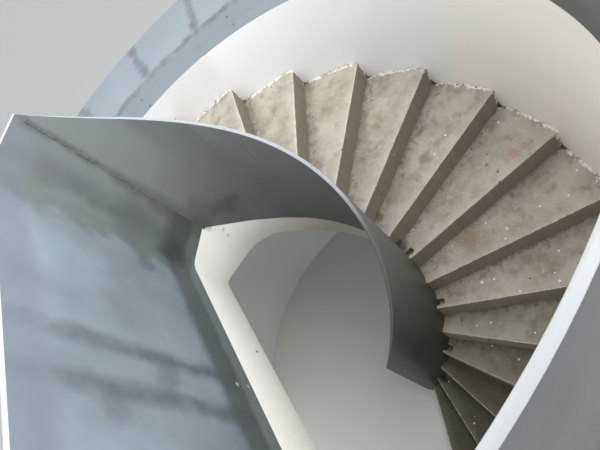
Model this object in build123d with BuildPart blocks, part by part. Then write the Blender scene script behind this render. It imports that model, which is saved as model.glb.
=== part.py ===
from build123d import *
from math import acos, asin, atan2, ceil, cos, degrees, radians, sin, sqrt, tan
import os

# Spiral staircase of raw concrete steps in a round plastered well, in millimetres.
# The flight climbs anticlockwise, seen from above, round an open eye. A thin curved plate
# stands on the edge of the eye and is string and guard in one.
# The origin lies on the lower floor, in the middle of the first step, on its walking line.

# The flight
riser = 175
step_count = 14
step_angle = 15.8
well_radius = 1734
walk_line = 1040

# The eye, a round opening that stands a little off the middle of the well
eye_radius = 410
eye_shift = 85
eye_shift_angle = 131

# The plate that is string and guard
plate_thickness = 22
plate_drop = 198
guard_over_nosing = 903
string_lead = 17
string_pieces = 7
seat_gap = 0.4

# The sloping slab under the steps, which eases into the landing in a haunch
waist_depth = 198
steps_per_waist = 2
haunch_depth = 405
haunch_ease = 0.4

# The round wall of the well
wall_thickness = 150
wall_pieces = 8
wall_end = 270

# The landing and its straight guard
landing_depth = 285
panel_distance = 362
panel_angle = 285.3
bend_reach = 128
bend_radius = 120

# The floor round the well, and the guard on the wall
floor_depth = 200
floor_width = 900
floor_start = 122
floor_end = 242
floor_pieces = 3
well_guard_pieces = 3

# The square pockets beside the string, in every second step
pocket_side = 55
pocket_depth = 60
pocket_setback = 12

# Worked out from the sizes above
first_nosing = -step_angle / 2
last_nosing = first_nosing + step_count * step_angle
floor_level = (step_count + 1) * riser
plate_height = guard_over_nosing + plate_drop
string_start = first_nosing - string_lead
corner_angle = last_nosing + plate_drop / riser * step_angle
haunch_start = last_nosing - step_angle
bend_angle = panel_angle - degrees(atan2(bend_reach, panel_distance))
eye_face = eye_radius - plate_thickness
wall_face = well_radius + wall_thickness
well_axis = Vector(-walk_line, 0, 0)
sweep_inner = (eye_face - eye_shift) / 2
sweep_outer = wall_face + wall_thickness


def around(radius, angle, height=0):
    """A point at this radius and angle about the axis of the well."""
    return well_axis + Vector(radius * cos(radians(angle)), radius * sin(radians(angle)), height)


eye_axis = around(eye_shift, eye_shift_angle)


def pitch_height(angle):
    """The height of the line through the nosings at this angle."""
    return riser * (1 + (angle - first_nosing) / step_angle)


def string_foot(angle):
    """The height where the string and the edge of the waist slab meet."""
    return pitch_height(angle) - plate_drop


def string_top(angle):
    return pitch_height(angle) + guard_over_nosing


def soffit(angle):
    """The underside: it follows the flight, eases off along the haunch, and ends level at the bend."""
    if angle <= haunch_start:
        return string_foot(angle) - waist_depth
    haunch_foot = floor_level - haunch_depth
    if angle <= corner_angle:
        part = (angle - haunch_start) / (corner_angle - haunch_start)
        flight_foot = string_foot(haunch_start) - waist_depth
        return flight_foot + (haunch_foot - flight_foot) * part * (1 + haunch_ease * (1 - part))
    part = (angle - corner_angle) / (bend_angle - corner_angle)
    return haunch_foot + (haunch_depth - landing_depth) * part


def eye_reach(radius, angle):
    """How far a circle about the middle of the eye lies from the axis of the well."""
    turn = radians(angle - eye_shift_angle)
    return eye_shift * cos(turn) + sqrt(radius**2 - (eye_shift * sin(turn)) ** 2)


def fan(start, end):
    """The corners of a wedge from the axis of the well that holds all between two angles."""
    reach = 2 * (wall_face + floor_width)
    return [well_axis, around(reach, start), around(reach, (start + end) / 2), around(reach, end)]


def radial_plane(angle):
    """An upright plane through the axis of the well, with X outwards and Y up."""
    turn = radians(angle)
    return Plane(origin=well_axis, x_dir=(cos(turn), sin(turn), 0), z_dir=(sin(turn), -cos(turn), 0))


def level(height):
    return Plane.XY.offset(height)


def helical_piece(outer, inner, start, end, bottom, top, under, over):
    """A round piece between two angles, whose underside and top can both slope.

    outer and inner are circles as (middle, radius). bottom and top are level heights. under
    and over give the heights of the sloping surfaces at an angle.
    """
    stations = max(2, ceil((end - start) / step_angle - 0.01) + 1)
    with BuildPart() as piece:
        with BuildSketch(level(bottom)):
            with Locations(outer[0]):
                Circle(outer[1])
            with Locations(inner[0]):
                Circle(inner[1], mode=Mode.SUBTRACT)
            with BuildLine():
                Polyline(fan(start, end), close=True)
            make_face(mode=Mode.INTERSECT)
        extrude(amount=top - bottom)
        for station in range(stations):
            angle = start + (end - start) * station / (stations - 1)
            with BuildSketch(radial_plane(angle)):
                with Locations(((sweep_outer + sweep_inner) / 2, (over(angle) + under(angle)) / 2)):
                    Rectangle(sweep_outer - sweep_inner, over(angle) - under(angle))
        loft(ruled=True, mode=Mode.INTERSECT)
        split(bisect_by=Plane.XY, keep=Keep.TOP)
    return piece


def save(piece, name):
    piece.part.label = name
    export_step(piece.part, f"parts/{name}.step")


os.makedirs("parts", exist_ok=True)

# Steps, one solid each, with a square pocket beside the string in every second one
for number in range(1, step_count + 1):
    nosing = first_nosing + (number - 1) * step_angle
    tread_top = number * riser
    pocket_angle = nosing + degrees(
        asin((pocket_setback + pocket_side / 2) / eye_reach(eye_radius, nosing))
    )
    pocket_plane = Plane(
        origin=around(eye_reach(eye_radius, pocket_angle), pocket_angle, tread_top),
        x_dir=(cos(radians(pocket_angle)), sin(radians(pocket_angle)), 0),
        z_dir=(0, 0, 1),
    )
    with BuildPart() as step:
        with BuildSketch(level(tread_top)):
            with Locations(well_axis):
                Circle(well_radius)
            with Locations(eye_axis):
                Circle(eye_radius, mode=Mode.SUBTRACT)
            with BuildLine():
                Polyline(fan(nosing, nosing + step_angle), close=True)
            make_face(mode=Mode.INTERSECT)
        extrude(amount=-riser)
        if number % 2 == 0:
            with BuildSketch(pocket_plane):
                with Locations(((pocket_side - plate_thickness) / 2, 0)):
                    Rectangle(pocket_side + plate_thickness, pocket_side)
            extrude(amount=-pocket_depth, mode=Mode.SUBTRACT)
    save(step, f"step_{number:02d}")

# Waist slab, level under each step and smooth below, whose edge shows under the string
for number in range(step_count // steps_per_waist):
    first_step = number * steps_per_waist
    waist_start = first_nosing + first_step * step_angle
    edge = helical_piece(
        outer=(eye_axis, eye_radius),
        inner=(eye_axis, eye_face),
        start=waist_start,
        end=waist_start + steps_per_waist * step_angle,
        bottom=-waist_depth,
        top=floor_level,
        under=soffit,
        over=string_foot,
    )
    with BuildPart() as waist:
        add(edge.part)
        for place in range(max(first_step, 1), first_step + steps_per_waist):
            seat = helical_piece(
                outer=(well_axis, well_radius),
                inner=(eye_axis, eye_radius),
                start=first_nosing + place * step_angle,
                end=first_nosing + (place + 1) * step_angle,
                bottom=-waist_depth,
                top=place * riser,
                under=soffit,
                over=pitch_height,
            )
            add(seat.part)
    save(waist, f"waist_slab_{number + 1}")

# String and guard on the edge of the eye, from the lower floor to the corner of the landing
string_angle = (corner_angle - string_start) / string_pieces
for number in range(string_pieces):
    string_from = string_start + number * string_angle
    string = helical_piece(
        outer=(eye_axis, eye_radius),
        inner=(eye_axis, eye_face),
        start=string_from,
        end=string_from + string_angle,
        bottom=-riser,
        top=floor_level + plate_height + riser,
        under=lambda angle: string_foot(angle) + seat_gap,
        over=string_top,
    )
    save(string, f"string_guard_{number + 1}")

# Straight guard of the landing: a piece round the bend, and the long panel from its middle
panel_away = Vector(cos(radians(panel_angle)), sin(radians(panel_angle)), 0)
panel_along = Vector(-panel_away.Y, panel_away.X, 0)
panel_half_chord = sqrt(well_radius**2 - panel_distance**2)


def on_panel(distance, along):
    return well_axis + panel_away * distance + panel_along * along


panel_back = panel_distance + plate_thickness
panel_back_chord = sqrt(well_radius**2 - panel_back**2)
bend_face = on_panel(panel_distance, -bend_reach)
corner_face = around(eye_reach(eye_face, corner_angle), corner_angle)
corner_back = around(eye_reach(eye_radius, corner_angle), corner_angle)
bend_turn = acos(((bend_face - corner_face).normalized()).dot(panel_along))
bend_back = on_panel(panel_back, -bend_reach - plate_thickness * tan(bend_turn / 2))

with BuildPart() as corner_panel:
    with BuildSketch(level(floor_level)) as bend_sketch:
        with BuildLine():
            Polyline(
                corner_face,
                bend_face,
                on_panel(panel_distance, 0),
                on_panel(panel_back, 0),
                bend_back,
                corner_back,
                close=True,
            )
        make_face()
        fillet(bend_sketch.vertices().sort_by_distance(bend_face)[0], bend_radius)
        fillet(bend_sketch.vertices().sort_by_distance(bend_back)[0], bend_radius + plate_thickness)
    extrude(amount=plate_height)
save(corner_panel, "landing_guard_corner")

with BuildPart() as landing_panel:
    with BuildSketch(level(floor_level)):
        with BuildLine():
            far_face = on_panel(panel_distance, panel_half_chord)
            far_back = on_panel(panel_back, panel_back_chord)
            Polyline(on_panel(panel_distance, 0), far_face, far_back, on_panel(panel_back, 0), close=True)
        make_face()
    extrude(amount=plate_height)
save(landing_panel, "landing_guard_panel")

# Landing slab, level behind the straight guard, with the haunch that takes up the flight
panel_end_angle = panel_angle + degrees(acos(panel_distance / well_radius))
landing_fan_middle = (last_nosing + panel_end_angle) / 2
head_edge = helical_piece(
    outer=(eye_axis, eye_radius),
    inner=(eye_axis, eye_face),
    start=last_nosing,
    end=corner_angle,
    bottom=0,
    top=floor_level,
    under=soffit,
    over=string_foot,
)
head = helical_piece(
    outer=(well_axis, well_radius),
    inner=(eye_axis, eye_radius),
    start=last_nosing,
    end=corner_angle,
    bottom=0,
    top=floor_level - landing_depth,
    under=soffit,
    over=pitch_height,
)
haunch = helical_piece(
    outer=(well_axis, well_radius),
    inner=(eye_axis, eye_face),
    start=corner_angle,
    end=bend_angle,
    bottom=0,
    top=floor_level - landing_depth,
    under=soffit,
    over=pitch_height,
)
head_back = around(eye_reach(eye_radius, last_nosing), last_nosing)
head_middle_angle = (last_nosing + corner_angle) / 2
head_middle = around(eye_reach(eye_radius, head_middle_angle), head_middle_angle)
with BuildPart() as landing:
    add(haunch.part)
    with BuildSketch(level(0)) as opening_sketch:
        with BuildLine():
            Polyline(well_axis, corner_face, bend_face, on_panel(panel_distance, 0), close=True)
        make_face()
        fillet(opening_sketch.vertices().sort_by_distance(bend_face)[0], bend_radius)
    extrude(amount=floor_level, mode=Mode.SUBTRACT)
    with BuildSketch(level(floor_level - landing_depth)) as landing_sketch:
        with Locations(well_axis):
            Circle(wall_face)
        with BuildLine():
            Polyline(
                head_back,
                around(2 * wall_face, last_nosing),
                around(2 * wall_face, landing_fan_middle),
                on_panel(panel_distance, 2 * wall_face),
                bend_face,
                corner_face,
                corner_back,
            )
            ThreePointArc(corner_back, head_middle, head_back)
        make_face(mode=Mode.INTERSECT)
        fillet(landing_sketch.vertices().sort_by_distance(bend_face)[0], bend_radius)
    extrude(amount=landing_depth)
    add(head.part)
    add(head_edge.part)
save(landing, "landing_slab")

# Round wall of the well, from the foot of the string to past the bend under the landing
wall_angle = (wall_end - string_start) / wall_pieces
for number in range(wall_pieces):
    wall_from = string_start + number * wall_angle
    wall_to = wall_from + wall_angle
    with BuildPart() as wall:
        with BuildSketch(level(0)):
            with Locations(well_axis):
                Circle(wall_face)
                Circle(well_radius, mode=Mode.SUBTRACT)
            with BuildLine():
                Polyline(fan(wall_from, wall_to), close=True)
            make_face(mode=Mode.INTERSECT)
        extrude(amount=floor_level)
        if wall_to > last_nosing or wall_from < panel_end_angle - 360:
            add(landing.part, mode=Mode.SUBTRACT)
    save(wall, f"well_wall_{number + 1}")

# Guard on the wall, on round the well from the end of the straight panel
well_guard_start = panel_end_angle - 360
well_guard_angle = (floor_start - well_guard_start) / well_guard_pieces
for number in range(well_guard_pieces):
    guard_from = well_guard_start + number * well_guard_angle
    with BuildPart() as guard:
        with BuildSketch(level(floor_level)):
            with Locations(well_axis):
                Circle(well_radius + plate_thickness)
                Circle(well_radius, mode=Mode.SUBTRACT)
            with BuildLine():
                Polyline(fan(guard_from, guard_from + well_guard_angle), close=True)
            make_face(mode=Mode.INTERSECT)
        extrude(amount=plate_height)
    save(guard, f"well_guard_{number + 1}")

# Strip of the upper floor outside the wall, where the flight arrives
floor_angle = (floor_end - floor_start) / floor_pieces
for number in range(floor_pieces):
    floor_from = floor_start + number * floor_angle
    with BuildPart() as floor_strip:
        with BuildSketch(level(floor_level - floor_depth)):
            with Locations(well_axis):
                Circle(wall_face + floor_width)
                Circle(wall_face, mode=Mode.SUBTRACT)
            with BuildLine():
                Polyline(fan(floor_from, floor_from + floor_angle), close=True)
            make_face(mode=Mode.INTERSECT)
        extrude(amount=floor_depth)
    save(floor_strip, f"upper_floor_{number + 1}")
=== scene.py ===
from math import cos, radians, sin, sqrt

import bmesh
import bpy
from mathutils import Matrix, Vector


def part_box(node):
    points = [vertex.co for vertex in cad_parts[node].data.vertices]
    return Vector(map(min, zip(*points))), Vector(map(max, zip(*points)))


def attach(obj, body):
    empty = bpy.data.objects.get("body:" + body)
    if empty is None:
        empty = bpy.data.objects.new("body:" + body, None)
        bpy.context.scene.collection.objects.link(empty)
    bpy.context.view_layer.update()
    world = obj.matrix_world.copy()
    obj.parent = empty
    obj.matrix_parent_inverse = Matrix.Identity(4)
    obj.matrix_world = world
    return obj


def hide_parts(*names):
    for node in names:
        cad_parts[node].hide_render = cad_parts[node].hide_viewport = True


# Spiral staircase, still being finished: raw concrete steps in a plastered well, with plates
# of primed steel as string and guards. Lengths are in metres, angles in degrees about the well.

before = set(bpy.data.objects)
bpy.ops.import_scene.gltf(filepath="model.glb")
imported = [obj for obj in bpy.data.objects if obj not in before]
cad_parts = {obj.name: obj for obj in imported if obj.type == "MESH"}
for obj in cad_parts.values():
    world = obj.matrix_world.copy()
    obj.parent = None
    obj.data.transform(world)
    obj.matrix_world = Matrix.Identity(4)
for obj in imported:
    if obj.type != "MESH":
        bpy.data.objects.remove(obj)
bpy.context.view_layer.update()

MM = 0.001

# The flight: its heights come from the frame, its circles and angles are the part's own
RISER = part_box("step_01")[1][2]
STEP_COUNT = 14
STEP_ANGLE = 15.8
FIRST_NOSING = -STEP_ANGLE / 2
FLOOR_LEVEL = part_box("landing_slab")[1][2]
WELL_AXIS = Vector((-1.040, 0, 0))
WELL_RADIUS = 1.734
EYE_AXIS = WELL_AXIS + 0.085 * Vector((cos(radians(131)), sin(radians(131)), 0))
EYE_RADIUS = 0.410
STRING_FACE = 0.388

# The straight guard of the landing, the reach of its bend, and the corner where it meets the string
PANEL_AWAY = Vector((cos(radians(285.3)), sin(radians(285.3)), 0))
PANEL_ALONG = Vector((-PANEL_AWAY.y, PANEL_AWAY.x, 0))
PANEL_DISTANCE = 0.362
BEND_REACH = 0.128
CORNER_ANGLE = 231.17

# The joints of the screed: one round the well, and radial ones outside it
JOINT_RADIUS = 2.110
JOINT_ANGLE = 14.6
JOINT_SHIFT = 0.062

# Heights between which a finish changes from its first look to its second
# Painted shade: the treads darken from the first height down to the second, deep in the well
UNSHADED_TREAD, SHADED_TREAD = 1.04, 0.55
DUSTY_NOSING, CLEAN_NOSING = 0.70, 1.30
# The string is dark below the first height: primer, partly a painted shade deep in the well
PRIMED_SHADED_STRING, FILLED_STRING = 1.60, 3.00
BARE_EDGE, PAINTED_EDGE = 2.12, 2.38
# Painted shade: the slab's plaster darkens from the first height down to the second
UNSHADED_SLAB, SHADED_SLAB = 2.42, 1.75
WIDE_SEAM, NARROW_SEAM = 2.70, 3.30
PANEL_BRIM = FLOOR_LEVEL + 1.08

# Steps climbed between which the wall's plaster turns from white to cream, a painted warm shade
WHITE_WALL, CREAM_SHADED_WALL = 9.8, 6.6

# How finely the cast concrete is meshed, and how far a step reaches into its neighbours
VOXEL = 8 * MM
OVERLAP = 1.5 * VOXEL

# Wear of a step: the nosing's, the ragged rims at the wall and at the string with their depth, the
# top layer that the trowel moved, and the cove of mortar in front of the next riser
NOSING_WEAR = 14 * MM
WALL_RIM = 35 * MM
STRING_RIM = 28 * MM
RIM_DEPTH = 15 * MM
TOP_LAYER = 8 * MM
COVE = 32 * MM

# The ridge of filler at the corner: its ends over the landing, its section, its rounding and mesh
FILLER_FOOT, FILLER_HEAD = 0.36, 1.06
FILLER_WIDTH, FILLER_THICKNESS = 22 * MM, 6 * MM
FILLER_ROUNDING = 2.5 * MM
FILLER_VOXEL = 3 * MM

# The camera, solved from the photograph's 600 by 450 frame, its lens and sensor in millimetres
CAMERA_PLACE = Vector((0.5745, 1.0031, 4.3538))
CAMERA_RIGHT = Vector((0.248357, 0.801627, -0.543795))
CAMERA_UP = Vector((-0.746158, 0.516307, 0.420327))
CAMERA_BACK = Vector((0.617711, 0.301366, 0.726369))
CAMERA_LENS = 29.63
CAMERA_SENSOR = 36

# The strength of the sky near the horizon and overhead
HORIZON_LIGHT, OVERHEAD_LIGHT = 1.35, 0.85


def around(radius, angle, height=0):
    """A point at this radius and angle about the axis of the well."""
    turn = radians(angle)
    return WELL_AXIS + Vector((radius * cos(turn), radius * sin(turn), height))


def uphill(angle):
    """The level direction in which the flight climbs at this angle about the well."""
    outwards = around(1, angle) - WELL_AXIS
    return Vector((-outwards.y, outwards.x, 0))


def level_offset(place, axis):
    """How far a place is from an upright axis, as a level vector."""
    return Vector((place.x - axis.x, place.y - axis.y, 0))


def on_panel(along, height=0):
    """A point on the face of the straight guard, this far along it."""
    return WELL_AXIS + PANEL_AWAY * PANEL_DISTANCE + PANEL_ALONG * along + Vector((0, 0, height))


def on_string(angle, height=0, radius=STRING_FACE):
    """A point on the eye side of the string, at this angle about the axis of the well."""
    turn = Vector((cos(radians(angle)), sin(radians(angle)), 0))
    shift = EYE_AXIS - WELL_AXIS
    middle = shift.dot(turn)
    reach = middle + sqrt(radius**2 - shift.length_squared + middle**2)
    return WELL_AXIS + turn * reach + Vector((0, 0, height))


def drops(tint, strength, rows):
    """Drops of paint on the treads, from rows of step, radius, angle and size in millimetres."""
    return [
        (around(radius, angle, step * RISER), size * MM, tint, strength)
        for step, radius, angle, size in rows
    ]


# Tints that come up in more than one finish: fresh paint, chalky cement, and cement worn pale
WHITE_PAINT = "#f2efe8"
CHALKY_CEMENT = "#e4dfd3"
WORN_CEMENT = "#d2ccbd"

# Single marks that the flight shows: place, size, tint and strength
STEP_STAINS = [
    (Vector((-1.154, 0.853, 7 * RISER)), 80 * MM, "#a37a70", 0.60),
    (Vector((-1.680, 0.911, 9 * RISER)), 58 * MM, "#706e5e", 0.55),
    (Vector((-1.458, 1.400, 8 * RISER)), 50 * MM, "#b8857c", 0.60),
    (Vector((-1.461, 1.470, 8 * RISER)), 26 * MM, "#b58d82", 0.65),
    (Vector((-1.462, 1.530, 8 * RISER)), 22 * MM, "#9d8073", 0.60),
    (Vector((-1.489, 1.216, 8 * RISER)), 17 * MM, "#5a564b", 0.85),
    (Vector((-1.397, 1.255, 8 * RISER)), 12 * MM, "#3d3a33", 0.95),
    (Vector((-1.425, 1.189, 8 * RISER)), 10 * MM, "#5a564b", 0.80),
    (around(0.495, 117.5, 8 * RISER + 15 * MM), 62 * MM, "#484539", 0.80),
    (around(0.600, 133.0, 9 * RISER), 40 * MM, "#5c5749", 0.70),
    (around(0.640, 149.0, 10 * RISER), 45 * MM, "#77715f", 0.60),
]
PAINT_DROPS = drops(
    WHITE_PAINT,
    1,
    [
        (7, 1.023, 99.1, 7),
        (7, 1.105, 92.5, 9),
        (7, 1.063, 89.4, 7),
        (7, 1.523, 91.6, 8),
        (7, 1.665, 95.9, 9),
        (8, 1.606, 116.1, 9),
        (9, 1.316, 123.2, 9),
        (6, 1.310, 82.2, 9),
        (6, 1.249, 73.2, 12),
        (6, 0.872, 80.4, 10),
        (6, 0.790, 81.0, 13),
        (6, 1.007, 72.5, 9),
    ],
)
PAINT_DROPS += drops(
    CHALKY_CEMENT, 0.9, [(5, 0.764, 63.8, 9), (5, 0.668, 62.1, 7), (4, 0.921, 50.5, 9)]
)
PAINT_DROPS += drops(WORN_CEMENT, 0.9, [(2, 0.784, 12.7, 9)])
FLOOR_DOTS = [
    (Vector((x, y, FLOOR_LEVEL)), size * MM, "#34383d", 0.90)
    for x, y, size in (
        (-2.997, 0.257, 13),
        (-2.839, 0.291, 13),
        (-2.860, -0.653, 12),
        (-2.712, -0.577, 14),
    )
]
STRING_SMUDGES = [
    (on_string(197.4, 2.495), 80 * MM, "#444a49", 0.45),
    (on_string(204.0, 2.560), 70 * MM, "#50564f", 0.35),
    (on_string(210.0, 2.600), 70 * MM, "#505655", 0.35),
    (on_string(217.0, 2.640), 75 * MM, "#525857", 0.35),
    (on_string(222.0, 2.720), 75 * MM, "#5a605f", 0.50),
]
PANEL_SMUDGES = [
    (Vector((-1.131, -0.352, 3.500)), 90 * MM, "#6b6d70", 0.40),
    (Vector((-1.122, -0.356, 3.080)), 110 * MM, "#5b5f61", 0.45),
    (Vector((-1.048, -0.393, 2.800)), 95 * MM, "#454d4d", 0.75),
    (Vector((-1.030, -0.397, 2.720)), 80 * MM, "#4b5352", 0.60),
    (on_panel(0.100, FLOOR_LEVEL + 0.40), 60 * MM, "#5f6664", 0.45),
    (on_panel(0.760, FLOOR_LEVEL + 0.52), 90 * MM, "#5d646a", 0.55),
    (on_panel(0.930, FLOOR_LEVEL + 0.78), 80 * MM, "#5d646a", 0.50),
]
PANEL_CRUMBS = [
    (on_panel(0.708, FLOOR_LEVEL + 0.106), 13 * MM, "#c9cfd0", 0.90),
    (on_panel(0.702, FLOOR_LEVEL + 0.030), 11 * MM, "#c9cfd0", 0.90),
    (on_panel(0.713, FLOOR_LEVEL + 0.090), 8 * MM, "#353a3a", 0.80),
]
EDGE_MARKS = [
    (on_string(CORNER_ANGLE - 0.6, FLOOR_LEVEL - 10 * MM), 13 * MM, "#2e2f2c", 0.95),
    (on_string(CORNER_ANGLE - 4, FLOOR_LEVEL - 40 * MM), 34 * MM, "#9b9d92", 0.55),
    (on_string(222.0, 2.470), 14 * MM, "#a9aa9f", 0.60),
    (on_string(224.5, 2.420), 12 * MM, "#b0b1a6", 0.60),
    (on_panel(0.432, FLOOR_LEVEL - 205 * MM), 10 * MM, "#3c3d3a", 0.90),
]

# Joints of the straight guard, as places along it with the strength of their filler, and its corner
PANEL_JOINTS = [(-0.185, 0.60), (0.69, 0.85), (0.875, 0.80)]
CORNER_ALONG = (on_string(CORNER_ANGLE) - WELL_AXIS).dot(PANEL_ALONG)


def colour(code):
    """An sRGB hex colour as linear light."""
    shares = [int(code[start : start + 2], 16) / 255 for start in (1, 3, 5)]
    return [
        share / 12.92 if share <= 0.04045 else ((share + 0.055) / 1.055) ** 2.4 for share in shares
    ] + [1]


def first_output(node):
    """The first output that the node's settings leave in use."""
    return next(output for output in node.outputs if output.enabled)


def add(tree, kind, feeds=None, **settings):
    """Adds a node with its settings and its links.

    Feeds are values, sockets, or nodes for their first output, by the input's name or number. In
    a MapRange 0 is the value, 1 and 2 are the range it comes from, 3 and 4 the range it goes to.
    In a Mix of colours 0 is the factor, 6 and 7 are the colours.
    """
    new = tree.nodes.new("ShaderNode" + kind)
    for name, value in settings.items():
        setattr(new, name, value)
    for name, value in (feeds or {}).items():
        if isinstance(value, bpy.types.Node):
            value = first_output(value)
        if isinstance(value, bpy.types.NodeSocket):
            tree.links.new(value, new.inputs[name])
        else:
            new.inputs[name].default_value = value
    return new


def begin(name):
    """A new material with its shader and Object coordinates."""
    material = bpy.data.materials.new(name)
    material.use_nodes = True
    tree = material.node_tree
    place = add(tree, "TexCoord").outputs["Object"]
    return material, tree, tree.nodes["Principled BSDF"], place


def give(tree, shader, **finish):
    """Feeds the shader: nodes are linked, and plain values are set on its own sockets."""
    for name, value in finish.items():
        socket = shader.inputs[name.replace("_", " ")]
        if isinstance(value, bpy.types.Node):
            tree.links.new(first_output(value), socket)
        else:
            socket.default_value = value


def well_place(tree, place):
    """Distance from the axis of the well, steps climbed from the first nosing, and height."""
    offset = add(tree, "VectorMath", {0: place, 1: WELL_AXIS}, operation="SUBTRACT")
    flat = add(tree, "VectorMath", {0: offset, 1: (1, 1, 0)}, operation="MULTIPLY")
    radius = add(tree, "VectorMath", {0: flat}, operation="LENGTH")
    sides = add(tree, "SeparateXYZ", {0: offset})
    turn = add(tree, "Math", {0: sides.outputs["Y"], 1: sides.outputs["X"]}, operation="ARCTAN2")
    turn = add(tree, "Math", {0: turn, 1: radians(270), 2: radians(-90)}, operation="WRAP")
    climbed = add(tree, "Math", {0: turn, 1: radians(-FIRST_NOSING)}, operation="ADD")
    climbed = add(tree, "Math", {0: climbed, 1: radians(STEP_ANGLE)}, operation="DIVIDE")
    return radius, climbed, sides.outputs["Z"]


def ragged(tree, place, size, shift):
    """The place, shifted by up to this much, so that a mark drawn there gets a ragged edge."""
    cloud = add(tree, "TexNoise", {"Vector": place, "Scale": 1 / size, "Detail": 3})
    centred = add(
        tree, "VectorMath", {0: cloud.outputs["Color"], 1: (0.5, 0.5, 0.5)}, operation="SUBTRACT"
    )
    return add(
        tree, "VectorMath", {0: centred, 1: (2 * shift,) * 3, 2: place}, operation="MULTIPLY_ADD"
    )


def dragged(tree, place):
    """The place, shifted widely and then finely, so that a mark ends as dragged filler does."""
    return ragged(tree, ragged(tree, place, 160 * MM, 70 * MM), 35 * MM, 20 * MM)


def marked(tree, base, place, marks):
    """Round marks on a colour: each has its place, radius, tint and strength."""
    for centre, size, tint, strength in marks:
        away = add(tree, "VectorMath", {0: place, 1: centre}, operation="DISTANCE")
        mask = add(
            tree,
            "MapRange",
            {0: away, 1: size * 1.2, 2: size * 0.4, 4: strength},
            interpolation_type="SMOOTHSTEP",
        )
        base = add(tree, "Mix", {0: mask, 6: base, 7: colour(tint)}, data_type="RGBA")
    return base


def specks(tree, place, spacing, channel, rarity, largest, edge):
    """A mask of round specks, one in each cell whose random value is over the rarity.

    The largest radius and the soft edge are shares of the spacing.
    """
    cell = add(tree, "TexVoronoi", {0: place, "Scale": 1 / spacing})
    chance = add(tree, "SeparateColor", {0: cell.outputs["Color"]})
    size = add(tree, "MapRange", {0: chance.outputs[channel], 1: rarity, 2: 1, 4: largest})
    speck = add(tree, "Math", {0: size, 1: cell}, operation="SUBTRACT")
    return add(tree, "MapRange", {0: speck, 1: 0, 2: edge})


def painted_top(tree, base, tint, strength=1):
    """The tint of a plate's top edge, on the faces that look up."""
    normal = add(tree, "SeparateXYZ", {0: add(tree, "NewGeometry").outputs["Normal"]})
    top = add(tree, "MapRange", {0: normal.outputs["Z"], 1: 0.3, 2: 0.45, 4: strength})
    return add(tree, "Mix", {0: top, 6: base, 7: colour(tint)}, data_type="RGBA")


def corner_seam(tree, base, away, width):
    """The dark seam in the corner between the string and the landing guard."""
    seam = add(
        tree, "MapRange", {0: away, 1: width, 2: 5 * MM, 4: 0.55}, interpolation_type="SMOOTHSTEP"
    )
    return add(tree, "Mix", {0: seam, 6: base, 7: colour("#55544f")}, data_type="RGBA")


def along_tread(tree, radius, climbed, height):
    """How far a place is behind the nosing of its own step, and how far in front of the riser."""
    step = add(tree, "Math", {0: height, 1: RISER}, operation="DIVIDE")
    step = add(tree, "Math", {0: step}, operation="ROUND")
    share = add(tree, "Math", {0: climbed, 1: step}, operation="SUBTRACT")
    share = add(tree, "Math", {0: share, 1: 1}, operation="ADD")
    depth = add(tree, "Math", {0: radius, 1: radians(STEP_ANGLE)}, operation="MULTIPLY")
    behind = add(tree, "Math", {0: share, 1: depth}, operation="MULTIPLY")
    before = add(tree, "Math", {0: depth, 1: behind}, operation="SUBTRACT")
    return behind, before


def cement_clouds(tree, place, smudge, dust):
    """Clouds of the cement itself, dark smudges and pale dust. Also says where the dust lies."""
    wide = add(tree, "TexNoise", {0: place, "Scale": 1 / (260 * MM), "Detail": 4, "Roughness": 0.55})
    cloud = add(tree, "MapRange", {0: wide, 1: 0.38, 2: 0.62})
    base = add(tree, "Mix", {0: cloud, 6: colour("#a19b8c"), 7: colour("#bbb5a7")}, data_type="RGBA")
    smudged = add(
        tree, "MapRange", {0: smudge, 1: 0.46, 2: 0.74, 4: 0.75}, interpolation_type="SMOOTHSTEP"
    )
    base = add(tree, "Mix", {0: smudged, 6: base, 7: colour("#8d8675")}, data_type="RGBA")
    dusted = add(tree, "MapRange", {0: dust, 1: 0.52, 2: 0.68, 4: 0.45})
    base = add(tree, "Mix", {0: dusted, 6: base, 7: colour("#ccc7bb")}, data_type="RGBA")
    return base, dusted


def riser_foot_dirt_and_shade(tree, base, place, before, smudge, dust):
    """Dirt towards the next riser, with a painted shade: a soft painted shade in the corner, caked
    patches of dirt and a dark crust.
    """
    # Painted shade: a soft shade over the tread in front of the next riser
    shade = add(
        tree, "MapRange", {0: before, 1: 110 * MM, 2: 0, 4: 0.6}, interpolation_type="SMOOTHSTEP"
    )
    shade = add(tree, "Math", {0: shade, 1: smudge}, operation="MULTIPLY")
    base = add(tree, "Mix", {0: shade, 6: base, 7: colour("#7f7969")}, data_type="RGBA")
    caked = add(
        tree,
        "TexNoise",
        {0: place, "Scale": 1 / (48 * MM), "Detail": 7, "Roughness": 0.62, "Distortion": 0.3},
    )
    edge = add(tree, "MapRange", {0: before, 1: 150 * MM, 2: 10 * MM, 3: 0.72, 4: 0.50})
    caked = add(tree, "Math", {0: caked, 1: edge}, operation="SUBTRACT")
    caked = add(tree, "MapRange", {0: caked, 1: 0, 2: 0.05, 4: 0.55})
    base = add(tree, "Mix", {0: caked, 6: base, 7: colour("#716c5d")}, data_type="RGBA")
    crust = add(tree, "MapRange", {0: before, 1: 22 * MM, 2: 4 * MM, 4: 0.7})
    crust = add(tree, "Math", {0: crust, 1: dust}, operation="MULTIPLY")
    return add(tree, "Mix", {0: crust, 6: base, 7: colour("#625d4f")}, data_type="RGBA")


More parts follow.
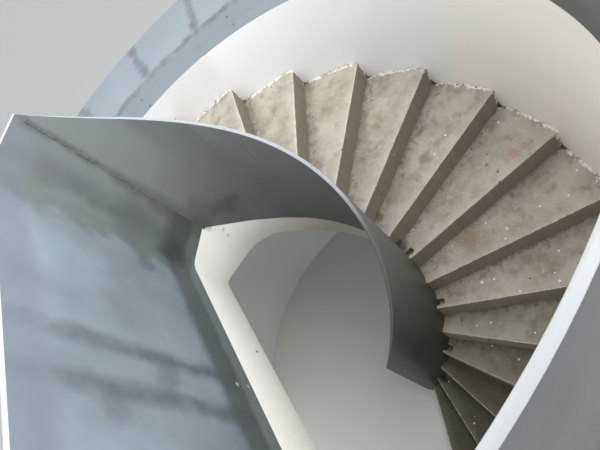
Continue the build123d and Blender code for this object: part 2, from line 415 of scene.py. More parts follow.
def worn_nosing(tree, base, behind, height, dust):
    """The pale band that feet rub along a nosing, cleaner up the flight, and its chalky edge."""
    trodden = add(tree, "MapRange", {0: height, 1: DUSTY_NOSING, 2: CLEAN_NOSING, 3: 0.08, 4: 0.4})
    worn = add(tree, "MapRange", {0: behind, 1: 75 * MM, 2: 10 * MM, 4: trodden})
    base = add(tree, "Mix", {0: worn, 6: base, 7: colour(WORN_CEMENT)}, data_type="RGBA")
    edge = add(tree, "MapRange", {0: behind, 1: 11 * MM, 2: 5 * MM})
    edge = add(tree, "Math", {0: edge, 1: dust}, operation="MULTIPLY")
    return add(tree, "Mix", {0: edge, 6: base, 7: colour(CHALKY_CEMENT)}, data_type="RGBA")


def riser_shade_and_streaks(tree, base, place):
    """Risers are darker and browner than the treads, a painted shade on the upright faces, with
    streaks down them.

    Also gives the strength of cracks and crumbs, which show less on a riser than on a tread.
    """
    normal = add(tree, "SeparateXYZ", {0: add(tree, "NewGeometry").outputs["Normal"]})
    upright = add(tree, "MapRange", {0: normal.outputs["Z"], 1: 0.75, 2: 0.35})
    drawn_out = add(tree, "Mapping", {0: place, "Scale": (1, 1, 0.15)})
    streak = add(tree, "TexNoise", {0: drawn_out, "Scale": 1 / (50 * MM), "Detail": 4})
    # Painted shade: the upright faces take a darker, browner tint
    tint = add(tree, "Mix", {0: streak, 6: colour("#7b7567"), 7: colour("#918a7c")}, data_type="RGBA")
    base = add(tree, "Mix", {0: upright, 6: base, 7: tint}, data_type="RGBA")
    showing = add(tree, "MapRange", {0: upright, 3: 0.9, 4: 0.2})
    return base, showing


def mortar_joint(tree, base, place, gap, dust, showing):
    """The crumbling joint of mortar at the wall, with dark cracks, which it gives as well."""
    crumb = add(tree, "TexNoise", {0: place, "Scale": 1 / (22 * MM), "Detail": 4, "Roughness": 0.7})
    reach = add(tree, "MapRange", {0: dust, 1: 0.36, 2: 0.62, 3: -4 * MM, 4: 42 * MM})
    rim = add(tree, "Math", {0: reach, 1: gap}, operation="SUBTRACT")
    rim = add(tree, "MapRange", {0: rim, 1: 0, 2: 7 * MM, 4: 0.9})
    base = add(tree, "Mix", {0: rim, 6: base, 7: colour("#f1ede3")}, data_type="RGBA")
    near_wall = add(tree, "MapRange", {0: gap, 1: 26 * MM, 2: 6 * MM, 3: 0.72, 4: 0.55})
    crack = add(tree, "Math", {0: crumb, 1: near_wall}, operation="SUBTRACT")
    crack = add(tree, "MapRange", {0: crack, 1: 0, 2: 0.03, 4: showing})
    base = add(tree, "Mix", {0: crack, 6: base, 7: colour("#4a463c")}, data_type="RGBA")
    return base, crack


def corner_shade(tree, base, gap, before, height):
    """The painted shade that each tread has in the corner between the wall and the next riser."""
    # Height over the tread, which counts as none from 14 mm below it to 7 mm over it
    lift = add(tree, "Math", {0: height, 1: RISER}, operation="DIVIDE")
    lift = add(tree, "Math", {0: lift, 1: 0.08}, operation="ADD")
    lift = add(tree, "Math", {0: lift}, operation="FRACT")
    lift = add(tree, "MapRange", {0: lift, 1: 0.12, 2: 1.0, 4: RISER})
    wedge = add(tree, "Math", {0: gap, 1: 1.3, 2: before}, operation="MULTIPLY_ADD")
    wedge = add(tree, "Math", {0: wedge, 1: lift}, operation="ADD")
    # Painted shade: dark where the wall, the tread and the next riser meet
    corner_dark = add(tree, "MapRange", {0: wedge, 1: 62 * MM, 2: 25 * MM})
    return add(tree, "Mix", {0: corner_dark, 6: base, 7: colour("#45413a")}, data_type="RGBA")


def mortar_crumbs(tree, base, place, before, showing):
    """Crumbs of old mortar, more and larger ones towards the next riser."""
    cell = add(tree, "TexVoronoi", {0: place, "Scale": 1 / (26 * MM)})
    chance = add(tree, "SeparateColor", {0: cell.outputs["Color"]})
    size = add(tree, "MapRange", {0: before, 1: 90 * MM, 2: 0, 3: -0.05, 4: 0.42})
    size = add(tree, "Math", {0: chance.outputs["Blue"], 1: size}, operation="MULTIPLY")
    crumb = add(tree, "Math", {0: size, 1: cell}, operation="SUBTRACT")
    crumb = add(tree, "MapRange", {0: crumb, 1: 0, 2: 0.08, 4: showing})
    return add(tree, "Mix", {0: crumb, 6: base, 7: colour("#5a5547")}, data_type="RGBA")


def cast_concrete():
    # Concrete cast in place and trowelled on the treads. The eye sees grey-beige smudges, dirt and a
    # painted shade at the foot of each riser, risers and lower treads darkened by painted shade, a
    # worn pale nosing, pits, drops of white paint, and a crumbling joint of lime mortar at the wall,
    # with a painted shade in its corners. Dry and matt.
    material, tree, shader, place = begin("cast_concrete")
    radius, climbed, height = well_place(tree, ragged(tree, place, 35 * MM, 7 * MM))
    behind, before = along_tread(tree, radius, climbed, height)
    gap = add(tree, "Math", {0: WELL_RADIUS, 1: radius}, operation="SUBTRACT")
    gap = add(tree, "Math", {0: gap}, operation="ABSOLUTE")
    smudge = add(
        tree, "TexNoise", {0: place, "Scale": 1 / (105 * MM), "Detail": 5, "Distortion": 0.15}
    )
    dust = add(tree, "TexNoise", {0: place, "Scale": 1 / (42 * MM), "Detail": 6, "Roughness": 0.7})
    grit = add(tree, "TexNoise", {0: place, "Scale": 1 / (4 * MM), "Detail": 2, "Roughness": 0.7})

    base, dusted = cement_clouds(tree, place, smudge, dust)
    base = riser_foot_dirt_and_shade(tree, base, place, before, smudge, dust)
    # Painted shade: the lower treads, deep in the well, are darkened towards the foot of the flight
    low_tread_shade = add(tree, "MapRange", {0: height, 1: UNSHADED_TREAD, 2: SHADED_TREAD, 4: 0.88})
    base = add(tree, "Mix", {0: low_tread_shade, 6: base, 7: colour("#3b362b")}, data_type="RGBA")
    base = worn_nosing(tree, base, behind, height, dust)
    base, showing = riser_shade_and_streaks(tree, base, place)
    base, crack = mortar_joint(tree, base, place, gap, dust, showing)
    base = corner_shade(tree, base, gap, before, height)

    # Pits, drops of the white paint, a finer splash of it on the dusty patches, and crumbs
    pit = specks(tree, place, 60 * MM, "Red", 0.40, 0.11, 0.02)
    base = add(tree, "Mix", {0: pit, 6: base, 7: colour("#4d493f")}, data_type="RGBA")
    drop = specks(tree, place, 75 * MM, "Green", 0.30, 0.085, 0.012)
    base = add(tree, "Mix", {0: drop, 6: base, 7: colour(WHITE_PAINT)}, data_type="RGBA")
    splash = add(tree, "TexVoronoi", {0: place, "Scale": 1 / (24 * MM)})
    splash = add(tree, "MapRange", {0: splash, 1: 0.10, 2: 0.07})
    splash = add(tree, "Math", {0: splash, 1: dusted}, operation="MULTIPLY")
    base = add(tree, "Mix", {0: splash, 6: base, 7: colour("#efebe2")}, data_type="RGBA")
    base = mortar_crumbs(tree, base, place, before, showing)

    # Stains that the flight shows: red ones and dark dots, a grey ring, broken inner ends, and the
    # largest drops of paint
    stained = ragged(tree, ragged(tree, place, 70 * MM, 30 * MM), 18 * MM, 12 * MM)
    base = marked(tree, base, stained, STEP_STAINS)
    base = marked(tree, base, ragged(tree, place, 12 * MM, 4 * MM), PAINT_DROPS)
    speckle = add(tree, "MapRange", {0: grit, 1: 0.3, 2: 0.7, 3: 0.88, 4: 1.08})
    base = add(tree, "Mix", {0: 1, 6: base, 7: speckle}, data_type="RGBA", blend_type="MULTIPLY")

    bump = add(tree, "Bump", {"Height": smudge, "Distance": 3 * MM, "Strength": 0.4})
    bump = add(tree, "Bump", {"Height": grit, "Distance": 1.2 * MM, "Strength": 0.5, "Normal": bump})
    bump = add(tree, "Bump", {"Height": pit, "Distance": 3 * MM, "Normal": bump}, invert=True)
    bump = add(tree, "Bump", {"Height": crack, "Distance": 4 * MM, "Normal": bump}, invert=True)
    give(tree, shader, Base_Color=base, Roughness=0.92, Normal=bump)
    return material


def joint_distance(tree, ring, radius, climbed):
    """How far the nearest joint of the screed is, where radial ones end at the one round the well.

    Ring is how far outside the joint round the well the place is.
    """
    ring_away = add(tree, "Math", {0: ring}, operation="ABSOLUTE")
    bay = add(
        tree,
        "Math",
        {0: climbed, 1: STEP_ANGLE / JOINT_ANGLE, 2: JOINT_SHIFT},
        operation="MULTIPLY_ADD",
    )
    bay = add(tree, "Math", {0: bay, 1: 0.5}, operation="PINGPONG")
    across = add(tree, "Math", {0: radius, 1: radians(JOINT_ANGLE)}, operation="MULTIPLY")
    radial_away = add(tree, "Math", {0: bay, 1: across}, operation="MULTIPLY")
    inside = add(tree, "Math", {0: ring, 1: 0}, operation="LESS_THAN")
    radial_away = add(tree, "Math", {0: radial_away, 1: inside}, operation="ADD")
    return add(tree, "Math", {0: ring_away, 1: radial_away}, operation="MINIMUM")


def floor_screed():
    # Cement screed under a blue-grey finish, with the darker filler of its joints: one round the
    # well, and radial ones beyond it. Smooth, and a little wet-looking at low angles.
    material, tree, shader, place = begin("floor_screed")
    wide = add(tree, "TexNoise", {0: place, "Scale": 1 / (700 * MM), "Detail": 3})
    base = add(tree, "Mix", {0: wide, 6: colour("#8b959d"), 7: colour("#a0aab1")}, data_type="RGBA")
    radius, climbed, _ = well_place(tree, ragged(tree, place, 150 * MM, 42 * MM))
    ring = add(tree, "Math", {0: radius, 1: JOINT_RADIUS}, operation="SUBTRACT")
    inner_strip = add(
        tree,
        "MapRange",
        {0: ring, 1: 40 * MM, 2: -60 * MM, 4: 0.7},
        interpolation_type="SMOOTHSTEP",
    )
    base = add(tree, "Mix", {0: inner_strip, 6: base, 7: colour("#788389")}, data_type="RGBA")
    away = joint_distance(tree, ring, radius, climbed)
    wash = add(tree, "TexNoise", {0: place, "Scale": 1 / (110 * MM), "Detail": 4, "Distortion": 0.5})
    wash = add(tree, "MapRange", {0: wash, 1: 0.35, 2: 0.65, 3: 0.35, 4: 0.80})
    width = add(tree, "MapRange", {0: wash, 1: 0.35, 2: 0.80, 3: 40 * MM, 4: 84 * MM})
    joint = add(tree, "MapRange", {0: away, 1: width, 2: 10 * MM}, interpolation_type="SMOOTHSTEP")
    joint = add(tree, "Math", {0: joint, 1: wash}, operation="MULTIPLY")
    base = add(tree, "Mix", {0: joint, 6: base, 7: colour("#646975")}, data_type="RGBA")
    base = marked(tree, base, ragged(tree, place, 12 * MM, 5 * MM), FLOOR_DOTS)
    fine = add(tree, "TexNoise", {0: place, "Scale": 1 / (30 * MM), "Detail": 4})
    sheen = add(tree, "MapRange", {0: fine, 3: 0.42, 4: 0.62})
    bump = add(tree, "Bump", {"Height": fine, "Distance": 1 * MM, "Strength": 0.35})
    give(tree, shader, Base_Color=base, Roughness=sheen, Normal=bump)
    return material


def wall_plaster():
    # Gypsum plaster, trowelled and sanded: nearly white, with wide faint clouds, creamier outside,
    # cream from a painted warm shade round the lower part of the flight, and a grey band along the
    # line of each tread where the steps meet it.
    material, tree, shader, place = begin("wall_plaster")
    wide = add(tree, "TexNoise", {0: place, "Scale": 1 / (800 * MM), "Detail": 3})
    base = add(tree, "Mix", {0: wide, 6: colour("#f5f6f8"), 7: colour("#eeeeef")}, data_type="RGBA")
    radius, climbed, height = well_place(tree, ragged(tree, place, 50 * MM, 12 * MM))
    # Painted warm shade: the plaster turns cream round the lower part of the flight
    warm_shade = add(
        tree, "MapRange", {0: climbed, 1: WHITE_WALL, 2: CREAM_SHADED_WALL}, interpolation_type="SMOOTHSTEP"
    )
    base = add(tree, "Mix", {0: warm_shade, 6: base, 7: colour("#f6efe2")}, data_type="RGBA")
    outside = add(tree, "MapRange", {0: radius, 1: WELL_RADIUS + 20 * MM, 2: WELL_RADIUS + 120 * MM})
    base = add(tree, "Mix", {0: outside, 6: base, 7: colour("#f3f1ec")}, data_type="RGBA")

    # A grey band along the line of each tread, on the inner face alone
    step = add(tree, "Math", {0: climbed}, operation="CEIL")
    tread = add(tree, "Math", {0: step, 1: RISER}, operation="MULTIPLY")
    above = add(tree, "Math", {0: height, 1: tread}, operation="SUBTRACT")
    above = add(tree, "Math", {0: above}, operation="ABSOLUTE")
    tread_line_grey = add(tree, "MapRange", {0: above, 1: 32 * MM, 2: 4 * MM}, interpolation_type="SMOOTHSTEP")
    patchy = add(tree, "TexNoise", {0: place, "Scale": 1 / (60 * MM), "Detail": 5, "Roughness": 0.65})
    thick = add(tree, "MapRange", {0: patchy, 1: 0.42, 2: 0.66, 4: 0.6})
    tread_line_grey = add(tree, "Math", {0: tread_line_grey, 1: thick}, operation="MULTIPLY")
    inner_face = add(tree, "Math", {0: radius, 1: WELL_RADIUS + 40 * MM}, operation="LESS_THAN")
    tread_line_grey = add(tree, "Math", {0: tread_line_grey, 1: inner_face}, operation="MULTIPLY")
    base = add(tree, "Mix", {0: tread_line_grey, 6: base, 7: colour("#b9b3a3")}, data_type="RGBA")

    dent = add(tree, "TexVoronoi", {0: place, "Scale": 1 / (300 * MM)})
    dent = add(tree, "MapRange", {0: dent, 1: 0.012, 2: 0.008, 4: 0.6})
    base = add(tree, "Mix", {0: dent, 6: base, 7: colour("#8f8b80")}, data_type="RGBA")
    sweep = add(tree, "TexNoise", {0: place, "Scale": 1 / (90 * MM), "Detail": 4, "Distortion": 1.2})
    bump = add(tree, "Bump", {"Height": sweep, "Distance": 2 * MM, "Strength": 0.3})
    bump = add(tree, "Bump", {"Height": tread_line_grey, "Distance": 2 * MM, "Normal": bump})
    give(tree, shader, Base_Color=base, Roughness=0.75, Normal=bump)
    return material


def edge_plaster():
    # The same plaster on the edge and the underside of the slab: bright at the landing, darkened by a
    # painted shade lower down the flight, with a few grey scuffs, and chips at the joint under the
    # string.
    material, tree, shader, place = begin("edge_plaster")
    wide = add(tree, "TexNoise", {0: place, "Scale": 1 / (350 * MM), "Detail": 4})
    base = add(tree, "Mix", {0: wide, 6: colour("#f7f7f4"), 7: colour("#edece7")}, data_type="RGBA")
    # Painted shade: the plaster darkens lower down the flight
    low_slab_shade = add(tree, "SeparateXYZ", {0: place})
    low_slab_shade = add(tree, "MapRange", {0: low_slab_shade.outputs["Z"], 1: UNSHADED_SLAB, 2: SHADED_SLAB, 4: 0.95})
    base = add(tree, "Mix", {0: low_slab_shade, 6: base, 7: colour("#a8a298")}, data_type="RGBA")
    scuffed = ragged(tree, place, 60 * MM, 40 * MM)
    scuff = add(tree, "TexNoise", {0: scuffed, "Scale": 1 / (38 * MM), "Detail": 4})
    scuff = add(tree, "MapRange", {0: scuff, 1: 0.70, 2: 0.78, 4: 0.35})
    base = add(tree, "Mix", {0: scuff, 6: base, 7: colour("#a4a59a")}, data_type="RGBA")
    base = marked(tree, base, ragged(tree, place, 12 * MM, 4 * MM), EDGE_MARKS)
    sweep = add(tree, "TexNoise", {0: place, "Scale": 1 / (70 * MM), "Detail": 4, "Distortion": 1})
    bump = add(tree, "Bump", {"Height": sweep, "Distance": 2 * MM, "Strength": 0.3})
    give(tree, shader, Base_Color=base, Roughness=0.65, Normal=bump)
    return material


def primer_filler_and_shade(tree, place, wide):
    """Dark primer at the foot of the flight, with a painted shade there, and grey filler
    towards the landing.

    The filler starts lower down on the outer face, which the steps meet.
    """
    offset = add(tree, "VectorMath", {0: place, 1: EYE_AXIS}, operation="SUBTRACT")
    reach = add(tree, "VectorMath", {0: offset, 1: (1, 1, 0)}, operation="MULTIPLY")
    reach = add(tree, "VectorMath", {0: reach}, operation="LENGTH")
    outer_face = add(
        tree, "MapRange", {0: reach, 1: STRING_FACE + 6 * MM, 2: EYE_RADIUS - 6 * MM, 4: 0.5}
    )
    height = add(tree, "SeparateXYZ", {0: ragged(tree, place, 400 * MM, 200 * MM)})
    filled = add(tree, "Math", {0: height.outputs["Z"], 1: outer_face}, operation="ADD")
    filled = add(tree, "MapRange", {0: filled, 1: PRIMED_SHADED_STRING, 2: FILLED_STRING})
    # Dark primer, partly a painted shade deep in the well
    dark = add(tree, "Mix", {0: wide, 6: colour("#3f4240"), 7: colour("#494d4a")}, data_type="RGBA")
    light = add(tree, "Mix", {0: wide, 6: colour("#767b7a"), 7: colour("#848b8c")}, data_type="RGBA")
    return add(tree, "Mix", {0: filled, 6: dark, 7: light}, data_type="RGBA")


def string_primer():
    # Steel plate in dark zinc primer at the foot of the flight, darker still there from a painted
    # shade, and rubbed over with grey filler towards the landing. Satin, with pale paint on its top
    # edge up the flight.
    material, tree, shader, place = begin("string_primer")
    wide = add(tree, "TexNoise", {0: place, "Scale": 1 / (300 * MM), "Detail": 4})
    base = primer_filler_and_shade(tree, place, wide)
    haze = add(tree, "TexNoise", {0: place, "Scale": 1 / (120 * MM), "Detail": 5, "Distortion": 0.4})
    haze = add(
        tree, "MapRange", {0: haze, 1: 0.56, 2: 0.72, 4: 0.12}, interpolation_type="SMOOTHSTEP"
    )
    base = add(tree, "Mix", {0: haze, 6: base, 7: colour("#525856")}, data_type="RGBA")
    base = marked(tree, base, dragged(tree, place), STRING_SMUDGES)
    away = ragged(tree, place, 70 * MM, 18 * MM)
    away = add(tree, "VectorMath", {0: away, 1: (1, 1, 0)}, operation="MULTIPLY")
    away = add(tree, "VectorMath", {0: away, 1: on_string(CORNER_ANGLE)}, operation="DISTANCE")
    height = add(tree, "SeparateXYZ", {0: place}).outputs["Z"]
    width = add(tree, "MapRange", {0: height, 1: WIDE_SEAM, 2: NARROW_SEAM, 3: 85 * MM, 4: 32 * MM})
    base = corner_seam(tree, base, away, width)
    painted = add(tree, "MapRange", {0: height, 1: BARE_EDGE, 2: PAINTED_EDGE, 3: 0.04})
    base = painted_top(tree, base, "#b6babd", painted)
    fine = add(tree, "TexNoise", {0: place, "Scale": 1 / (18 * MM), "Detail": 4})
    sheen = add(tree, "MapRange", {0: wide, 3: 0.40, 4: 0.58})
    bump = add(tree, "Bump", {"Height": fine, "Distance": 0.6 * MM, "Strength": 0.4})
    give(tree, shader, Base_Color=base, Roughness=sheen, Normal=bump)
    return material


def rubbed_corner(tree, base, along, patchy):
    """Greenish filler rubbed over the corner, darkest at the bend and thin at its edge."""
    edge = add(tree, "MapRange", {0: patchy, 1: 0.3, 2: 0.7, 3: -0.11, 4: 0.05})
    rubbed = add(tree, "Math", {0: along, 1: edge}, operation="ADD")
    rubbed = add(
        tree, "MapRange", {0: rubbed, 1: 0.08, 2: -0.06, 4: 0.85}, interpolation_type="SMOOTHSTEP"
    )
    tint = add(tree, "Mix", {0: patchy, 6: colour("#666c6b"), 7: colour("#808684")}, data_type="RGBA")
    return add(tree, "Mix", {0: rubbed, 6: base, 7: tint}, data_type="RGBA")


def filled_joints(tree, base, place, along, height):
    """Darker filler: a band under the brim, streaky down each joint, and along the foot.

    Heights are over the landing.
    """
    streaky = add(
        tree, "TexNoise", {0: place, "Scale": 1 / (75 * MM), "Detail": 5, "Distortion": 0.3}
    )
    streaky = add(tree, "MapRange", {0: streaky, 1: 0.30, 2: 0.66, 3: 0.55})
    drawn = add(tree, "MapRange", {0: height, 1: 1.00, 2: 0.88, 3: 0.35})
    drawn = add(tree, "Math", {0: drawn, 1: streaky}, operation="MULTIPLY")
    band = add(
        tree, "MapRange", {0: height, 1: 0.93, 2: 1.03, 4: 0.55}, interpolation_type="SMOOTHSTEP"
    )
    base = add(tree, "Mix", {0: band, 6: base, 7: colour("#727984")}, data_type="RGBA")
    for joint, strength in PANEL_JOINTS:
        away = add(tree, "Math", {0: along, 1: joint}, operation="SUBTRACT")
        away = add(tree, "Math", {0: away}, operation="ABSOLUTE")
        filler = add(
            tree,
            "MapRange",
            {0: away, 1: 64 * MM, 2: 6 * MM, 4: strength},
            interpolation_type="SMOOTHSTEP",
        )
        filler = add(tree, "Math", {0: filler, 1: drawn}, operation="MULTIPLY")
        base = add(tree, "Mix", {0: filler, 6: base, 7: colour("#575f65")}, data_type="RGBA")
    foot = add(
        tree,
        "MapRange",
        {0: height, 1: 270 * MM, 2: 190 * MM, 4: 0.85},
        interpolation_type="SMOOTHSTEP",
    )
    lower = add(
        tree, "MapRange", {0: height, 1: 62 * MM, 2: 100 * MM}, interpolation_type="SMOOTHSTEP"
    )
    tint = add(tree, "Mix", {0: lower, 6: colour("#77807f"), 7: colour("#535b5a")}, data_type="RGBA")
    return add(tree, "Mix", {0: foot, 6: base, 7: tint}, data_type="RGBA")


def panel_skim():
    # The landing guard: steel plate skimmed with blue-grey filler, thin and cloudy, with darker
    # filler dragged down its joints, along its foot and over the corner. Its top is white.
    material, tree, shader, place = begin("panel_skim")
    offset = ragged(tree, place, 110 * MM, 30 * MM)
    offset = add(tree, "VectorMath", {0: offset, 1: WELL_AXIS}, operation="SUBTRACT")
    along = add(tree, "VectorMath", {0: offset, 1: PANEL_ALONG}, operation="DOT_PRODUCT")
    height = add(tree, "SeparateXYZ", {0: offset})
    height = add(tree, "Math", {0: height.outputs["Z"], 1: FLOOR_LEVEL}, operation="SUBTRACT")
    wide = add(tree, "TexNoise", {0: place, "Scale": 1 / (380 * MM), "Detail": 4})
    cloud = add(tree, "MapRange", {0: wide, 1: 0.35, 2: 0.65})
    base = add(tree, "Mix", {0: cloud, 6: colour("#7a868f"), 7: colour("#8f9da8")}, data_type="RGBA")
    patchy = add(tree, "TexNoise", {0: place, "Scale": 1 / (120 * MM), "Detail": 3})
    base = rubbed_corner(tree, base, along, patchy)
    base = filled_joints(tree, base, place, along, height)
    base = marked(tree, base, dragged(tree, place), PANEL_SMUDGES)
    away = add(tree, "Math", {0: along, 1: CORNER_ALONG}, operation="SUBTRACT")
    away = add(tree, "Math", {0: away}, operation="ABSOLUTE")
    width = add(tree, "MapRange", {0: height, 1: 0.1, 2: 0.7, 3: 85 * MM, 4: 26 * MM})
    base = corner_seam(tree, base, away, width)
    base = marked(tree, base, ragged(tree, place, 12 * MM, 5 * MM), PANEL_CRUMBS)
    brim = add(tree, "SeparateXYZ", {0: place})
    brim = add(tree, "Math", {0: brim.outputs["Z"], 1: PANEL_BRIM}, operation="GREATER_THAN")
    base = painted_top(tree, base, "#c0c3c7", brim)
    fine = add(tree, "TexNoise", {0: place, "Scale": 1 / (22 * MM), "Detail": 4})
    sheen = add(tree, "MapRange", {0: patchy, 3: 0.40, 4: 0.62})
    bump = add(tree, "Bump", {"Height": patchy, "Distance": 1.5 * MM, "Strength": 0.35})
    bump = add(tree, "Bump", {"Height": fine, "Distance": 0.6 * MM, "Strength": 0.3, "Normal": bump})
    give(tree, shader, Base_Color=base, Roughness=sheen, Normal=bump)
    return material


def guard_paint():
    # The guard on the wall: steel plate in its first coat of paint. Even grey, softly clouded, and
    # satin, with a paler top.
    material, tree, shader, place = begin("guard_paint")
    wide = add(tree, "TexNoise", {0: place, "Scale": 1 / (450 * MM), "Detail": 3})
    cloud = add(tree, "MapRange", {0: wide, 1: 0.35, 2: 0.65})
    base = add(tree, "Mix", {0: cloud, 6: colour("#626564"), 7: colour("#6f7473")}, data_type="RGBA")
    base = painted_top(tree, base, "#989b9e")
    fine = add(tree, "TexNoise", {0: place, "Scale": 1 / (15 * MM), "Detail": 4})
    sheen = add(tree, "MapRange", {0: fine, 3: 0.40, 4: 0.50})
    bump = add(tree, "Bump", {"Height": fine, "Distance": 0.5 * MM, "Strength": 0.3})
    give(tree, shader, Base_Color=base, Roughness=sheen, Normal=bump)
    return material


def take_in_hand(piece):
    """Selects this piece alone and makes it active."""
    bpy.ops.object.select_all(action="DESELECT")
    piece.select_set(True)
    bpy.context.view_layer.objects.active = piece


def merged_copy(node_name, name):
    """A copy of a CAD node's mesh, with its loose triangles merged and its flat faces joined."""
    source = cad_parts[node_name]
    piece = bpy.data.objects.new(name, source.data.copy())
    bpy.context.scene.collection.objects.link(piece)
    piece.data.name = name
    piece.data.materials.clear()
    take_in_hand(piece)
    bpy.ops.mesh.customdata_custom_splitnormals_clear()
    bpy.ops.object.mode_set(mode="EDIT")
    bpy.ops.mesh.select_all(action="SELECT")
    bpy.ops.mesh.remove_doubles(threshold=0.02 * MM)
    bpy.ops.mesh.dissolve_limited(angle_limit=radians(0.4))
    bpy.ops.object.mode_set(mode="OBJECT")
    return piece


def select_faces(piece, wanted):
    """Selects the faces that a test of centre and normal wants, in edit mode."""
    bpy.ops.mesh.select_mode(type="FACE")
    bpy.ops.mesh.select_all(action="DESELECT")
    shape = bmesh.from_edit_mesh(piece.data)
    for face in shape.faces:
        face.select_set(wanted(face.calc_center_median(), face.normal))
    bmesh.update_edit_mesh(piece.data)


def finish_faces(piece, finish, wanted):
    """Gives another finish to the faces that the test wants."""
    take_in_hand(piece)
    piece.data.materials.append(finish)
    piece.active_material_index = len(piece.data.materials) - 1
    bpy.ops.object.mode_set(mode="EDIT")
    select_faces(piece, wanted)
    bpy.ops.object.material_slot_assign()
    bpy.ops.object.mode_set(mode="OBJECT")


def apply_all(piece):
    """Applies every modifier of the piece, in their order."""
    take_in_hand(piece)
    for modifier in list(piece.modifiers):
        bpy.ops.object.modifier_apply(modifier=modifier.name)


def hand_over(piece, slot, *node_names):
    """A finished piece goes with the stair, and takes the place of its CAD nodes."""
    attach(piece, "root")
    if node_names:
        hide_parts(*node_names)


def is_joint(centre, normal):
    """Whether a face is an upright end, where a piece meets the next one round the well."""
    outwards = level_offset(centre, WELL_AXIS).normalized()
    tangent = Vector((-outwards.y, outwards.x, 0))
    return abs(normal.dot(tangent)) > 0.97 or abs(normal.dot(PANEL_ALONG)) > 0.97


def runs_on(edge):
    """Whether an edge is sharp and no part of a joint, so that it runs on from piece to piece."""
    faces = edge.link_faces
    if len(faces) != 2 or edge.calc_face_angle(0) <= radians(40):
        return False
    return not any(is_joint(face.calc_center_median(), face.normal) for face in faces)


def ease_edges(piece, width):
    """Rounds the edges that run on, and leaves the joints between pieces flush."""
    bpy.ops.object.mode_set(mode="EDIT")
    bpy.ops.mesh.select_mode(type="EDGE")
    bpy.ops.mesh.select_all(action="DESELECT")
    shape = bmesh.from_edit_mesh(piece.data)
    for edge in shape.edges:
        edge.select_set(runs_on(edge))
    bmesh.update_edit_mesh(piece.data)
    bpy.ops.mesh.bevel(offset=width, segments=2, affect="EDGES")
    bpy.ops.object.mode_set(mode="OBJECT")


def smoothed(piece):
    """Shades the piece smooth, except over its sharp edges."""
    take_in_hand(piece)
    bpy.ops.object.shade_smooth_by_angle(angle=radians(32))


def weigh(piece, name, measure):
    """A vertex group whose weights are measured from each vertex's place."""
    group = piece.vertex_groups.new(name=name)
    for vertex in piece.data.vertices:
        weight = measure(vertex.co)
        if weight > 0:
            group.add([vertex.index], min(weight, 1), "REPLACE")


def uneven(piece, texture, strength, middle, group=""):
    """Moves the surface in and out by a cloud texture, where the group allows it."""
    shift = piece.modifiers.new(texture.name, "DISPLACE")
    shift.texture = texture
    shift.texture_coords = "LOCAL"
    shift.strength = strength
    shift.mid_level = middle
    shift.vertex_group = group


def voxelled(piece, size):
    """Meshes the piece anew in even small faces."""
    cast = piece.modifiers.new("cast", "REMESH")
    cast.mode = "VOXEL"
    cast.voxel_size = size
    cast.use_smooth_shade = True
    apply_all(piece)


def clouds(name, size, contrast=1.0, brightness=1.0):
    """A cloud texture whose lumps have about this size."""
    texture = bpy.data.textures.new(name, "CLOUDS")
    texture.noise_scale = size
    texture.noise_depth = 3
    texture.contrast = contrast
    texture.intensity = brightness
    return texture


trowel_waves = clouds("trowel_waves", 120 * MM)
broken_edge = clouds("broken_edge", 14 * MM, contrast=2.4, brightness=1.25)
ragged_joint = clouds("ragged_joint", 20 * MM, contrast=2.2)
filler_lumps = clouds("filler_lumps", 26 * MM, contrast=1.6)
filler_drift = clouds("filler_drift", 110 * MM, contrast=1.5)


def is_outer_end(centre, normal):
    """Whether a face of a step lies against the wall."""
    flat = level_offset(centre, WELL_AXIS)
    return normal.dot(flat.normalized()) > 0.9 and flat.length > WELL_RADIUS - 20 * MM


def is_inner_end(centre, normal):
    """Whether a face of a step lies against the string."""
    flat = level_offset(centre, EYE_AXIS)
    return normal.dot(flat.normalized()) < -0.9 and flat.length < EYE_RADIUS + 8 * MM


def let_in(piece, number, onwards):
    """The back, both ends and the foot of a step reach into their neighbours: no groove shows."""
    outward = 1 + OVERLAP / WELL_RADIUS
    inward = 1 - OVERLAP / EYE_RADIUS
    bpy.ops.object.mode_set(mode="EDIT")
    select_faces(piece, lambda centre, normal: normal.dot(onwards) > 0.9)
    bpy.ops.transform.translate(value=onwards * OVERLAP)
    select_faces(piece, is_outer_end)
    bpy.ops.transform.resize(value=(outward, outward, 1), center_override=WELL_AXIS)
    select_faces(piece, is_inner_end)
    bpy.ops.transform.resize(value=(inward, inward, 1), center_override=EYE_AXIS)
    if number > 1:
        select_faces(piece, lambda centre, normal: normal.z < -0.9)
        bpy.ops.transform.translate(value=(0, 0, -OVERLAP))
    bpy.ops.object.mode_set(mode="OBJECT")


